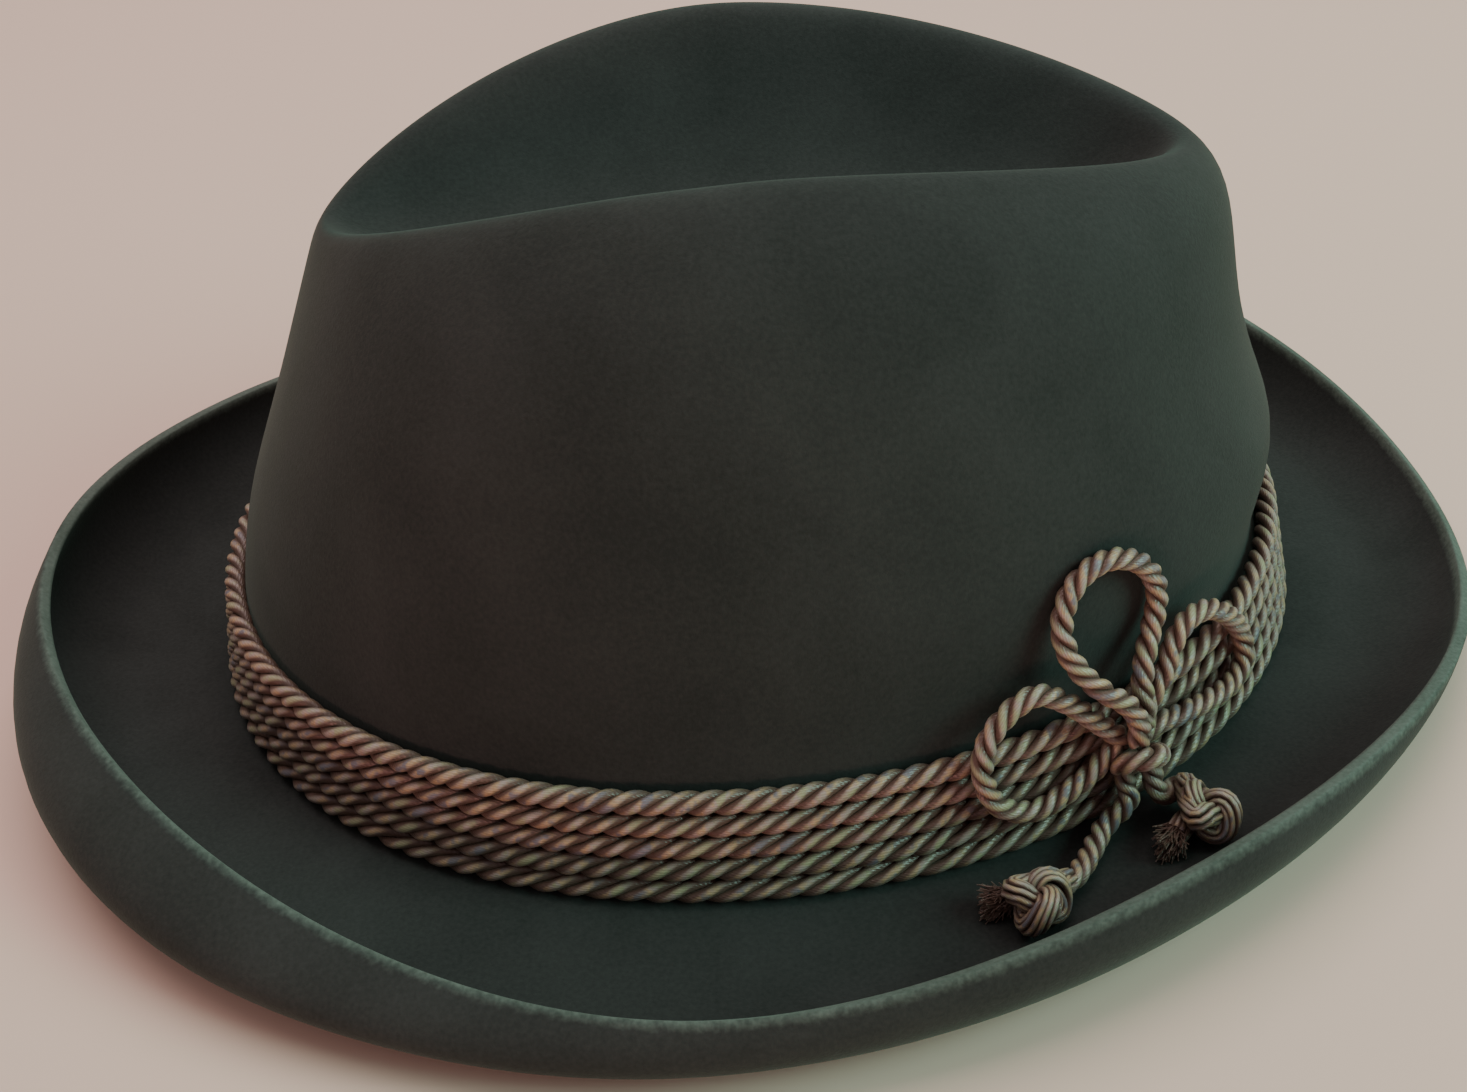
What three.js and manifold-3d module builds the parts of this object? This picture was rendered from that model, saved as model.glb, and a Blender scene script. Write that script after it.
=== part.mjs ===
// Tyrolean hat: a felt crown and brim in one piece, a band of five rows of twisted
// cord, and a bow of the same cord with two knotted ends. Millimetres, +Z up.
// The hat stands on the flat underside of its brim at z = 0, long axis along X,
// the bow on the -Y side, the origin under the middle of the brim.

import * as THREE from "three";
import { mergeVertices } from "three/addons/utils/BufferGeometryUtils.js";
import Module from "manifold-3d";

// Felt
const FELT_THICKNESS = 2.2;
const FELT_STEPS = 56;

// Crown, outside sizes
const FOOT_LENGTH = 205;
const FOOT_WIDTH = 173;
const FOOT_ROUNDNESS = 2.05;
const FOOT_RADIUS = 3;
const CROWN_HEIGHT = 104.8;
const RIGHT_END_HEIGHT = 89.5;
const LEFT_END_HEIGHT = 88.6;
const BAND_ZONE_HEIGHT = 19;
const BAND_ZONE_LEAN = 4.2;

// Ridge round the dent in the crown's top
const RIDGE_WIDTH = 84.6;
const RIDGE_RIGHT_REACH = 81.9;
const RIDGE_LEFT_REACH = 70.8;
const RIDGE_ROUND_ALONG = 1.87;
const RIDGE_ROUND_ACROSS = 1.75;
const RIDGE_DROP_POWER = 1.73;
const DENT_DEPTH = 28;
const DENT_DEPTH_RIGHT = 14;
const DENT_DEPTH_LEFT = 9;

// Brim, measured out from the crown's foot to the rim
const BRIM_SIDE = 34.2;
const BRIM_RIGHT = 35.0;
const BRIM_LEFT = 33.4;
const RIM_PINCH = 0.166;
const RIM_SKEW = 5;
const RIM_RISE = 25;
const CURL_REACH = 20;

// Cord
const CORD_DIAMETER = 3.9;
const CORD_SIDES = 8;
const CORD_STEP = 1;
const CLEARANCE = 0.3;
const BAND_CLEARANCE = 0.45;
const BAND_ROWS = 5;
const BAND_STEPS = 48;
const BOW_TURN = -56;
const END_KNOT_WIDTH = 12;
const END_KNOT_DEPTH = 8.5;
const END_KNOT_TURN = 162;
const END_KNOT_STEPS = 10;

const FELT_COLOUR = 0x33413a;
const CORD_COLOUR = 0xa3988a;

// Wall of the crown from the band's upper edge to the ridge.
// height: share of the way up to the ridge. side, right, left: share of the way in
// from the wall over the band to the ridge, below 0 where the wall swells out over the
// band. oval: share of the change in roundness.
const WALL = [
  { height: 0.00, side: 0.00, right: 0.00, left: 0.00, oval: 0.00 },
  { height: 0.20, side: 0.06, right: -0.13, left: 0.15, oval: 0.01 },
  { height: 0.40, side: 0.15, right: 0.12, left: 0.36, oval: 0.06 },
  { height: 0.62, side: 0.30, right: 0.38, left: 0.60, oval: 0.24 },
  { height: 0.80, side: 0.50, right: 0.48, left: 0.79, oval: 0.51 },
  { height: 0.93, side: 0.75, right: 0.64, left: 0.93, oval: 0.78 },
  { height: 1.00, side: 1.00, right: 1.00, left: 1.00, oval: 1.00 },
];

// Dent inside the ridge, from its middle line out.
// across, along: shares of the ridge's width and reach. depth: share of the dent's depth.
const DENT = [
  { across: 0.12, along: 0.70, depth: 1.00 },
  { across: 0.36, along: 0.79, depth: 0.90 },
  { across: 0.58, along: 0.87, depth: 0.66 },
  { across: 0.77, along: 0.94, depth: 0.32 },
  { across: 0.92, along: 0.985, depth: 0.05 },
];

// Brim, by turn from the +X end towards +Y, in equal steps.
// rise: share of RIM_RISE. curl: degrees that the brim has turned at its rim.
// reach: share of CURL_REACH, the distance over which it turns.
const BRIM = [
  { turn: 0, rise: 0.40, curl: 72, reach: 0.98 },
  { turn: 45, rise: 0.97, curl: 95, reach: 0.85 },
  { turn: 90, rise: 0.59, curl: 114, reach: 0.88 },
  { turn: 135, rise: 0.57, curl: 97, reach: 0.92 },
  { turn: 180, rise: 1.00, curl: 121, reach: 1.05 },
  { turn: 225, rise: 0.64, curl: 148, reach: 1.30 },
  { turn: 270, rise: 0.55, curl: 123, reach: 0.85 },
  { turn: 315, rise: 0.70, curl: 113, reach: 0.83 },
];
const CURL_ROWS = 6;

// Share of the way across the brim's flat ring at which it has a row of its own.
const LEDGE_ROW = 0.8;

// Routes of the bow's cord, centre lines, chosen by hand in mm.
// along: round the crown from the bow's middle, up: above the table,
// out: away from the straight lower wall of the crown.
const BOW_ROUTES = {
  left_loop: [
    { along: -2.5, up: 19.0, out: 7.4 },
    { along: -6.0, up: 23.0, out: 7.2 },
    { along: -9.0, up: 26.5, out: 7.0 },
    { along: -12.5, up: 30.0, out: 6.6 },
    { along: -16.5, up: 32.5, out: 6.3 },
    { along: -20.5, up: 32.0, out: 6.2 },
    { along: -24.5, up: 29.5, out: 6.4 },
    { along: -27.0, up: 26.0, out: 6.6 },
    { along: -27.5, up: 21.5, out: 6.7 },
    { along: -26.0, up: 16.5, out: 6.7 },
    { along: -22.5, up: 13.5, out: 6.7 },
    { along: -18.5, up: 12.5, out: 6.7 },
    { along: -14.0, up: 13.5, out: 6.7 },
    { along: -9.5, up: 15.0, out: 6.8 },
    { along: -5.5, up: 17.5, out: 7.0 },
    { along: -3.0, up: 19.5, out: 7.6 },
  ],
  upper_loop: [
    { along: -2.0, up: 20.0, out: 10.2 },
    { along: -2.0, up: 24.0, out: 10.9 },
    { along: -3.5, up: 28.0, out: 10.8 },
    { along: -7.0, up: 31.5, out: 9.8 },
    { along: -9.5, up: 34.5, out: 8.0 },
    { along: -10.8, up: 38.0, out: 6.0 },
    { along: -10.5, up: 42.0, out: 4.8 },
    { along: -8.0, up: 46.0, out: 4.2 },
    { along: -4.0, up: 48.5, out: 4.2 },
    { along: 1.5, up: 48.5, out: 4.3 },
    { along: 7.0, up: 45.5, out: 4.6 },
    { along: 9.5, up: 41.0, out: 5.0 },
    { along: 9.0, up: 36.5, out: 4.9 },
    { along: 7.0, up: 33.5, out: 5.2 },
    { along: 4.0, up: 30.5, out: 6.4 },
    { along: 2.2, up: 27.5, out: 7.4 },
    { along: 1.6, up: 24.0, out: 8.0 },
    { along: 1.4, up: 18.5, out: 7.6 },
  ],
  right_loop: [
    { along: 0.5, up: 20.0, out: 7.4 },
    { along: 4.0, up: 23.5, out: 7.0 },
    { along: 8.0, up: 26.5, out: 6.6 },
    { along: 11.0, up: 30.0, out: 6.2 },
    { along: 15.5, up: 32.0, out: 6.0 },
    { along: 21.5, up: 30.5, out: 6.0 },
    { along: 27.0, up: 25.5, out: 6.2 },
    { along: 29.5, up: 20.0, out: 6.4 },
    { along: 28.5, up: 16.0, out: 6.6 },
    { along: 23.5, up: 14.5, out: 6.7 },
    { along: 16.5, up: 15.5, out: 6.7 },
    { along: 9.5, up: 17.0, out: 6.8 },
    { along: 4.0, up: 18.5, out: 7.2 },
    { along: 0.5, up: 18.5, out: 7.6 },
  ],
  wrap: [
    { along: -4.5, up: 15.0, out: 6.8 },
    { along: -5.0, up: 17.2, out: 9.6 },
    { along: -3.5, up: 18.8, out: 12.2 },
    { along: -0.8, up: 18.4, out: 12.6 },
    { along: 1.4, up: 16.6, out: 10.8 },
    { along: 1.6, up: 14.8, out: 8.4 },
    { along: 0.8, up: 13.6, out: 6.8 },
  ],
};

// Routes of the two ends, which hang from the wrap and lie on the brim.
const LEFT_TAIL_ROUTE = [
  { along: -3.0, up: 11.4, out: 7.2 },
  { along: -2.8, up: 9.4, out: 7.9 },
  { along: -3.9, up: 7.6, out: 8.2 },
  { along: -6.0, up: 6.0, out: 7.6 },
  { along: -8.5, up: 5.0, out: 8.0 },
  { along: -11.0, up: 4.7, out: 9.6 },
  { along: -13.5, up: 4.6, out: 11.5 },
  { along: -16.0, up: 4.8, out: 13.3 },
  { along: -18.5, up: 5.4, out: 15.0 },
];
const RIGHT_TAIL_ROUTE = [
  { along: 1.2, up: 11.2, out: 9.0 },
  { along: 1.2, up: 9.2, out: 9.5 },
  { along: 2.2, up: 7.3, out: 9.6 },
  { along: 4.0, up: 6.4, out: 9.2 },
  { along: 5.8, up: 6.6, out: 9.0 },
  { along: 7.0, up: 7.0, out: 9.8 },
];
const LEFT_KNOT_PLACE = { along: -25.0, up: 7.0, out: 17.9, heading: -128 };
const RIGHT_KNOT_PLACE = { along: 4.5, up: 7.2, out: 16.6, heading: -62 };

const wasm = await Module();
wasm.setup();

const radians = (degrees) => (degrees * Math.PI) / 180;
const between = (a, b, share) => a + (b - a) * share;

// A point of an oval that may reach further right than left. Powers of 2 give an
// ellipse, smaller ones a more pointed oval. A pinch draws its four corners in.
function oval({ right, left, side, along, across, pinch }, turn) {
  const c = Math.cos(turn);
  const s = Math.sin(turn);
  const reach = (c > 0 ? right : left) * (1 - pinch * s * s);
  const x = reach * Math.sign(c) * Math.abs(c) ** (2 / along);
  const y = side * Math.sign(s) * Math.abs(s) ** (2 / across);
  return new THREE.Vector2(x, y);
}

// Level direction straight out from an oval.
function outward(shape, turn) {
  const step = 0.01;
  const ahead = oval(shape, turn + step);
  const behind = oval(shape, turn - step);
  return new THREE.Vector2(ahead.y - behind.y, behind.x - ahead.x).normalize();
}

function growOval(shape, by) {
  return {
    ...shape,
    right: shape.right + by,
    left: shape.left + by,
    side: shape.side + by,
  };
}

const foot = {
  right: FOOT_LENGTH / 2,
  left: FOOT_LENGTH / 2,
  side: FOOT_WIDTH / 2,
  along: FOOT_ROUNDNESS,
  across: FOOT_ROUNDNESS,
  pinch: 0,
};
const rim = {
  right: foot.right + BRIM_RIGHT,
  left: foot.left + BRIM_LEFT,
  side: foot.side + BRIM_SIDE,
  along: 2,
  across: 2,
  pinch: RIM_PINCH,
};
const wallBottom = FELT_THICKNESS + FOOT_RADIUS;
const wallTop = wallBottom + BAND_ZONE_HEIGHT;
const wallLean = BAND_ZONE_LEAN / BAND_ZONE_HEIGHT;

// Value of a brim column at a turn: the smooth closed curve through the stations.
function brimValue(column, turn) {
  const waves = BRIM.length / 2;
  let sum = 0;
  for (const station of BRIM) {
    let weight = 1;
    for (let k = 1; k <= waves; k += 1) {
      weight += (k < waves ? 2 : 1) * Math.cos(k * (turn - radians(station.turn)));
    }
    sum += (station[column] * weight) / BRIM.length;
  }
  return sum;
}

function ring(pointAt) {
  const points = [];
  for (let i = 0; i < FELT_STEPS; i += 1) {
    points.push(pointAt((i / FELT_STEPS) * 2 * Math.PI));
  }
  return points;
}

function endValue(turn, side, right, left, power) {
  const c = Math.cos(turn);
  return between(side, c > 0 ? right : left, Math.abs(c) ** power);
}

function ridgeHeight(turn) {
  const power = (2 / RIDGE_ROUND_ALONG) * RIDGE_DROP_POWER;
  return endValue(turn, CROWN_HEIGHT, RIGHT_END_HEIGHT, LEFT_END_HEIGHT, power);
}

function dentRing({ across, along, depth }) {
  const shape = {
    right: RIDGE_RIGHT_REACH * along,
    left: RIDGE_LEFT_REACH * along,
    side: (RIDGE_WIDTH / 2) * across,
    along: RIDGE_ROUND_ALONG,
    across: RIDGE_ROUND_ACROSS,
    pinch: 0,
  };
  return ring((turn) => {
    const p = oval(shape, turn);
    const deep = endValue(turn, DENT_DEPTH, DENT_DEPTH_RIGHT, DENT_DEPTH_LEFT, 2);
    return new THREE.Vector3(p.x, p.y, ridgeHeight(turn) - deep * depth);
  });
}

function wallRing({ height, side, right, left, oval: change }) {
  const above = growOval(foot, -BAND_ZONE_LEAN);
  const shape = {
    right: between(above.right, RIDGE_RIGHT_REACH, right),
    left: between(above.left, RIDGE_LEFT_REACH, left),
    side: between(above.side, RIDGE_WIDTH / 2, side),
    along: between(FOOT_ROUNDNESS, RIDGE_ROUND_ALONG, change),
    across: between(FOOT_ROUNDNESS, RIDGE_ROUND_ACROSS, change),
    pinch: 0,
  };
  return ring((turn) => {
    const p = oval(shape, turn);
    return new THREE.Vector3(p.x, p.y, between(wallTop, ridgeHeight(turn), height));
  });
}

// Ring offset level from the foot of the crown.
function footRing(out, height) {
  return ring((turn) => {
    const p = oval(foot, turn).addScaledVector(outward(foot, turn), out);
    return new THREE.Vector3(p.x, p.y, height);
  });
}

// How far the brim's right end is drawn towards the bow's side.
function rimSkew(turn) {
  return RIM_SKEW * Math.max(0, Math.cos(turn)) ** 3;
}

function curlRing(share) {
  return ring((turn) => {
    const full = radians(brimValue("curl", turn));
    const reach = brimValue("reach", turn) * CURL_REACH;
    const rise = brimValue("rise", turn) * RIM_RISE - FELT_THICKNESS;
    const level = reach * (Math.sin(full * share) - Math.sin(full));
    const lift = (rise * (1 - Math.cos(full * share))) / (1 - Math.cos(full));
    const p = oval(rim, turn).addScaledVector(outward(rim, turn), level);
    return new THREE.Vector3(p.x, p.y - rimSkew(turn), FELT_THICKNESS + lift);
  });
}

function ringBetween(inner, outer, share) {
  return inner.map((p, i) => p.clone().lerp(outer[i], share));
}

// Upper face of the felt, ring by ring from the middle of the dent to the rim.
function upperRings() {
  const rings = DENT.map(dentRing);
  for (const row of [...WALL].reverse()) {
    rings.push(wallRing(row));
  }
  rings.push(footRing(-BAND_ZONE_LEAN / 2, wallBottom + BAND_ZONE_HEIGHT / 2));
  rings.push(footRing(0, wallBottom));
  const half = FOOT_RADIUS * (1 - Math.SQRT1_2);
  rings.push(footRing(half, FELT_THICKNESS + half));
  const ledgeStart = footRing(FOOT_RADIUS, FELT_THICKNESS);
  const ledgeEnd = curlRing(0);
  const flat = [rings.length, rings.length + 1];
  rings.push(ledgeStart, ringBetween(ledgeStart, ledgeEnd, LEDGE_ROW));
  for (let i = 1; i <= CURL_ROWS; i += 1) {
    rings.push(curlRing(i / CURL_ROWS));
  }
  return { rings, flat };
}

// Lower face: each point of the upper face moved back through the felt.
function lowerRings(rings, flat) {
  return rings.map((points, r) =>
    points.map((p, i) => {
      if (flat.includes(r)) {
        return new THREE.Vector3(p.x, p.y, p.z - FELT_THICKNESS);
      }
      const next = points[(i + 1) % FELT_STEPS];
      const last = points[(i + FELT_STEPS - 1) % FELT_STEPS];
      const mirrored = points[(FELT_STEPS - i) % FELT_STEPS];
      const inner = r > 0 ? rings[r - 1][i] : mirrored;
      const outer = r < rings.length - 1 ? rings[r + 1][i] : p;
      const along = new THREE.Vector3().subVectors(next, last);
      const normal = new THREE.Vector3().subVectors(outer, inner).cross(along).normalize();
      return p.clone().addScaledVector(normal, -FELT_THICKNESS);
    }),
  );
}

function feltGeometry() {
  const { rings, flat } = upperRings();
  const faces = [rings, lowerRings(rings, flat)];
  const positions = [];
  for (const face of faces) {
    for (const points of face) {
      for (const p of points) {
        positions.push(p.x, p.y, p.z);
      }
    }
  }
  const last = rings.length - 1;
  const indices = [];
  const at = (face, r, i) => (face * rings.length + r) * FELT_STEPS + (i % FELT_STEPS);
  const triangle = (face, a, b, c) => indices.push(...(face ? [a, c, b] : [a, b, c]));
  for (const face of [0, 1]) {
    for (let r = 0; r < last; r += 1) {
      for (let i = 0; i < FELT_STEPS; i += 1) {
        triangle(face, at(face, r, i), at(face, r + 1, i), at(face, r + 1, i + 1));
        triangle(face, at(face, r, i), at(face, r + 1, i + 1), at(face, r, i + 1));
      }
    }
    // The innermost ring is closed across the dent's middle line.
    for (let i = 0; i < FELT_STEPS / 2; i += 1) {
      const near = at(face, 0, FELT_STEPS - i);
      const nearNext = at(face, 0, FELT_STEPS - i - 1);
      if (i > 0) {
        triangle(face, near, at(face, 0, i), at(face, 0, i + 1));
      }
      if (i < FELT_STEPS / 2 - 1) {
        triangle(face, near, at(face, 0, i + 1), nearNext);
      }
    }
  }
  for (let i = 0; i < FELT_STEPS; i += 1) {
    indices.push(at(0, last, i), at(1, last, i), at(1, last, i + 1));
    indices.push(at(0, last, i), at(1, last, i + 1), at(0, last, i + 1));
  }
  const geometry = new THREE.BufferGeometry();
  geometry.setAttribute("position", new THREE.Float32BufferAttribute(positions, 3));
  geometry.setIndex(indices);
  geometry.computeVertexNormals();
  return geometry;
}

// Closed line round the crown, a level distance out from its foot.
class Girth extends THREE.Curve {
  constructor(out, height) {
    super();
    this.out = out;
    this.height = height;
  }

  getPoint(t, target = new THREE.Vector3()) {
    const turn = t * 2 * Math.PI;
    const p = oval(foot, turn).addScaledVector(outward(foot, turn), this.out);
    return target.set(p.x, p.y, this.height);
  }
}

// Rows of the band lie against the wall, each a cord and a clearance above the last.
function bandRow(row) {
  const pitch = (CORD_DIAMETER + CLEARANCE) / Math.hypot(1, wallLean);
  const standOff = CORD_DIAMETER / 2 + BAND_CLEARANCE;
  const lowest = FELT_THICKNESS + CORD_DIAMETER / 2 + BAND_CLEARANCE;
  const height = lowest + row * pitch;
  const out = standOff - (height - wallBottom) * wallLean;
  const path = new Girth(out, height);
  return new THREE.TubeGeometry(path, BAND_STEPS, CORD_DIAMETER / 2, CORD_SIDES, true);
}

const bowGirth = new Girth(0, wallBottom);
const girthLength = bowGirth.getLength();
const bowStart = shareOfGirth(360 + BOW_TURN);

// Share of the girth's length at a turn in degrees, to the nearest half degree.
function shareOfGirth(turn) {
  const lengths = bowGirth.getLengths(2 * 360);
  return lengths[Math.round(2 * turn)] / girthLength;
}

function onCrown({ along, up, out }) {
  const share = (bowStart + along / girthLength + 1) % 1;
  const p = bowGirth.getPointAt(share);
  const t = bowGirth.getTangentAt(share);
  const level = out - (up - wallBottom) * wallLean;
  return new THREE.Vector3(p.x + t.y * level, p.y - t.x * level, up);
}

function cordGeometry(points, steps) {
  const section = [];
  for (let i = 0; i < CORD_SIDES; i += 1) {
    const turn = (i / CORD_SIDES) * 2 * Math.PI;
    const corner = new THREE.Vector2(Math.cos(turn), Math.sin(turn));
    section.push(corner.multiplyScalar(CORD_DIAMETER / 2));
  }
  return new THREE.ExtrudeGeometry(new THREE.Shape(section), {
    steps,
    bevelEnabled: false,
    extrudePath: new THREE.CatmullRomCurve3(points),
  });
}

function toSolid(geometry) {
  const bare = geometry.clone();
  bare.deleteAttribute("normal");
  bare.deleteAttribute("uv");
  const merged = mergeVertices(bare, 1e-4);
  return new wasm.Manifold(
    new wasm.Mesh({
      numProp: 3,
      vertProperties: new Float32Array(merged.attributes.position.array),
      triVerts: new Uint32Array(merged.index.array),
    }),
  );
}

function fuse(geometries) {
  const solid = geometries.map(toSolid).reduce((all, one) => all.add(one));
  const mesh = solid.getMesh();
  const geometry = new THREE.BufferGeometry();
  geometry.setAttribute("position", new THREE.BufferAttribute(mesh.vertProperties, 3));
  geometry.setIndex(new THREE.BufferAttribute(mesh.triVerts, 1));
  geometry.computeVertexNormals();
  return geometry;
}

// Tube along a route, a step for each so many thicknesses of the cord.
function routeGeometry(route) {
  const points = route.map(onCrown);
  const length = new THREE.CatmullRomCurve3(points).getLength();
  return cordGeometry(points, Math.round(length / (CORD_STEP * CORD_DIAMETER)));
}

function bowGeometry() {
  return fuse(Object.values(BOW_ROUTES).map(routeGeometry));
}

// Overhand knot in the cord's end: an opened trefoil, drawn tight. It is made in two
// halves, because a tube that crosses itself is no solid.
function endKnotGeometry({ along, up, out, heading }) {
  const level = (END_KNOT_WIDTH - CORD_DIAMETER) / 6;
  const rise = (END_KNOT_DEPTH - CORD_DIAMETER) / 2;
  const from = radians(-END_KNOT_TURN);
  const to = radians(END_KNOT_TURN);
  const points = [];
  for (let i = 0; i <= 2 * END_KNOT_STEPS; i += 1) {
    const t = between(from, to, i / (2 * END_KNOT_STEPS));
    const x = (Math.sin(t) + 2 * Math.sin(2 * t)) * level;
    const y = (Math.cos(t) - 2 * Math.cos(2 * t)) * level;
    points.push(new THREE.Vector3(x, y, -Math.sin(3 * t) * rise));
  }
  const halves = [points.slice(0, END_KNOT_STEPS + 1), points.slice(END_KNOT_STEPS)];
  const knot = fuse(halves.map((half) => cordGeometry(half, END_KNOT_STEPS)));
  knot.rotateZ(radians(heading));
  const centre = onCrown({ along, up, out });
  return knot.translate(centre.x, centre.y, centre.z);
}

const felt = new THREE.MeshStandardMaterial({ color: FELT_COLOUR, roughness: 0.95, metalness: 0 });
const cord = new THREE.MeshStandardMaterial({ color: CORD_COLOUR, roughness: 0.6, metalness: 0 });

const hat = new THREE.Group();

function addPiece(name, geometry, material) {
  const mesh = new THREE.Mesh(geometry, material);
  mesh.name = name;
  hat.add(mesh);
  return mesh;
}

const body = addPiece("felt_body", feltGeometry(), felt);
for (let row = 0; row < BAND_ROWS; row += 1) {
  addPiece(`band_cord_${row + 1}`, bandRow(row), cord);
}
addPiece("bow", bowGeometry(), cord);
addPiece("left_tail", routeGeometry(LEFT_TAIL_ROUTE), cord);
addPiece("left_end_knot", endKnotGeometry(LEFT_KNOT_PLACE), cord);
addPiece("right_tail", routeGeometry(RIGHT_TAIL_ROUTE), cord);
addPiece("right_end_knot", endKnotGeometry(RIGHT_KNOT_PLACE), cord);

// The brim's middle goes over the origin.
const middle = new THREE.Box3().setFromObject(body).getCenter(new THREE.Vector3());
hat.position.set(-middle.x, -middle.y, 0);

export default hat;
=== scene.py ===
"""Tyrolean hat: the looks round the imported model. Metres, +Z up, bow on the -Y side."""

import math
from functools import partial

import bmesh
import bpy
import numpy as np
from mathutils import Matrix, Vector, noise
from mathutils.kdtree import KDTree


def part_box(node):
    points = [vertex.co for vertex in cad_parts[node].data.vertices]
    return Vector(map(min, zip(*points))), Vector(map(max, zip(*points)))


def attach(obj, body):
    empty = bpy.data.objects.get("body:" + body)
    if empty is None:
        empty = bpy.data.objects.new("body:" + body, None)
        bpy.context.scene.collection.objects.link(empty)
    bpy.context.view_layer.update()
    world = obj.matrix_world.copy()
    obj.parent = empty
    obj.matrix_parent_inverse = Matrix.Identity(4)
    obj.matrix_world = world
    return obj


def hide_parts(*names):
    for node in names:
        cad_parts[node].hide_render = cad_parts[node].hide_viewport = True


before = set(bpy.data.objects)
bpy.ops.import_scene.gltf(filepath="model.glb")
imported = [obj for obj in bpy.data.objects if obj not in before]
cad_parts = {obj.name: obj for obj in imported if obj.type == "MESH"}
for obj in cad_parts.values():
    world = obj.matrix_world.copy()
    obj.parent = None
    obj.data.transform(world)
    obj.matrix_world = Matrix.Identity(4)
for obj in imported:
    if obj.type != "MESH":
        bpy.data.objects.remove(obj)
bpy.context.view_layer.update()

MM = 0.001
IMAGE_WIDTH = 1467
SENSOR_WIDTH = 36.0

# Camera, fitted to the hat's outlines. Angles in degrees.
CAMERA_DISTANCE = 327.3 * MM
CAMERA_AZIMUTH = 0.6
CAMERA_ELEVATION = 36.8
CAMERA_ROLL = -5.4
CAMERA_TARGET = Vector((-3.2, 0.0, 7.6)) * MM
CAMERA_FOCAL_PIXELS = 1585.6
CAMERA_CLIP_START = 0.01

# Sizes of the hat that the source also names
FOOT_ROUNDNESS = 2.05
FELT_THICKNESS = 2.2 * MM
FOOT_RADIUS = 3.0 * MM
WALL_BOTTOM = FELT_THICKNESS + FOOT_RADIUS
WALL_LEAN = 4.2 / 19
BAND_CLEARANCE = 0.45 * MM
BAND_ROWS = 5
BOW_TURN = -56

# How finely lines are worked out
CROWN_LINE_PARTS = 2880
CROWN_TURN_STEP = 0.01
BAND_LINE_PARTS = 720
KNOT_LINE_POINTS = 19
PATH_PARTS = 16
CORD_STEP = 0.65 * MM

# Twisted cord. In the knots the plies are pulled open into their nine yarns.
BAND_THICKNESS = 4.15 * MM
BAND_LAYS = [15.0 * MM, 13.6 * MM, 13.1 * MM, 12.7 * MM, 12.2 * MM]
CORD_THICKNESS = 3.8 * MM
CORD_LAY = 9.2 * MM
PLIES = 3
PLY_SIDES = 12
KNOT_THICKNESS = 4.15 * MM
KNOT_LAY = 34.0 * MM
KNOT_YARNS = 9

# Uneven twist: how fast it changes along a ply and from ply to ply, and its full range
# in radians.
WANDER_PER_METRE = 55.0
WANDER_PER_PLY = 17.3
WANDER_RANGE = 1.1

# Frayed end of each knot. A filament starts within a share of the spread, and leaves
# its straight line by a power of the way along.
FRAY_COUNT = 280
FRAY_SPREAD = 2.5 * MM
FRAY_THICKNESS = 0.2 * MM
FRAY_START_SHARE = 0.55
FRAY_POWER = 1.4
FRAY_POINTS = 5
FRAY_SIDES = 5
FRAY_SEED = 3
FRAY_TIP_SEED_STEP = 7

# Routes of the bow's cord, centre lines, in mm.
# along: round the crown from the bow's middle, up: above the floor,
# out: away from the straight lower wall of the crown.
BOW_ROUTES = {
    "left_loop": [
        (-2.5, 19.0, 7.4), (-6.0, 23.0, 7.2), (-9.0, 26.5, 7.0), (-12.5, 30.0, 6.6),
        (-16.5, 32.5, 6.3), (-20.5, 32.0, 6.2), (-24.5, 29.5, 6.4), (-27.0, 26.0, 6.6),
        (-27.5, 21.5, 6.7), (-26.0, 16.5, 6.7), (-22.5, 13.5, 6.7), (-18.5, 12.5, 6.7),
        (-14.0, 13.5, 6.7), (-9.5, 15.0, 6.8), (-5.5, 17.5, 7.0), (-3.0, 19.5, 7.6),
    ],
    "upper_loop": [
        (-2.0, 20.0, 10.2), (-2.0, 24.0, 10.9), (-3.5, 28.0, 10.8), (-7.0, 31.5, 9.8),
        (-9.5, 34.5, 8.0), (-10.8, 38.0, 6.0), (-10.5, 42.0, 4.8), (-8.0, 46.0, 4.2),
        (-4.0, 48.5, 4.2), (1.5, 48.5, 4.3), (7.0, 45.5, 4.6), (9.5, 41.0, 5.0),
        (9.0, 36.5, 4.9), (7.0, 33.5, 5.2), (4.0, 30.5, 6.4), (2.2, 27.5, 7.4),
        (1.6, 24.0, 8.0), (1.4, 18.5, 7.6),
    ],
    "right_loop": [
        (0.5, 20.0, 7.4), (4.0, 23.5, 7.0), (8.0, 26.5, 6.6), (11.0, 30.0, 6.2),
        (15.5, 32.0, 6.0), (21.5, 30.5, 6.0), (27.0, 25.5, 6.2), (29.5, 20.0, 6.4),
        (28.5, 16.0, 6.6), (23.5, 14.5, 6.7), (16.5, 15.5, 6.7), (9.5, 17.0, 6.8),
        (4.0, 18.5, 7.2), (0.5, 18.5, 7.6),
    ],
    "wrap": [
        (-4.5, 15.0, 6.8), (-5.0, 17.2, 9.6), (-3.5, 18.8, 12.2), (-0.8, 18.4, 12.6),
        (1.4, 16.6, 10.8), (1.6, 14.8, 8.4), (0.8, 13.6, 6.8),
    ],
}

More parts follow.
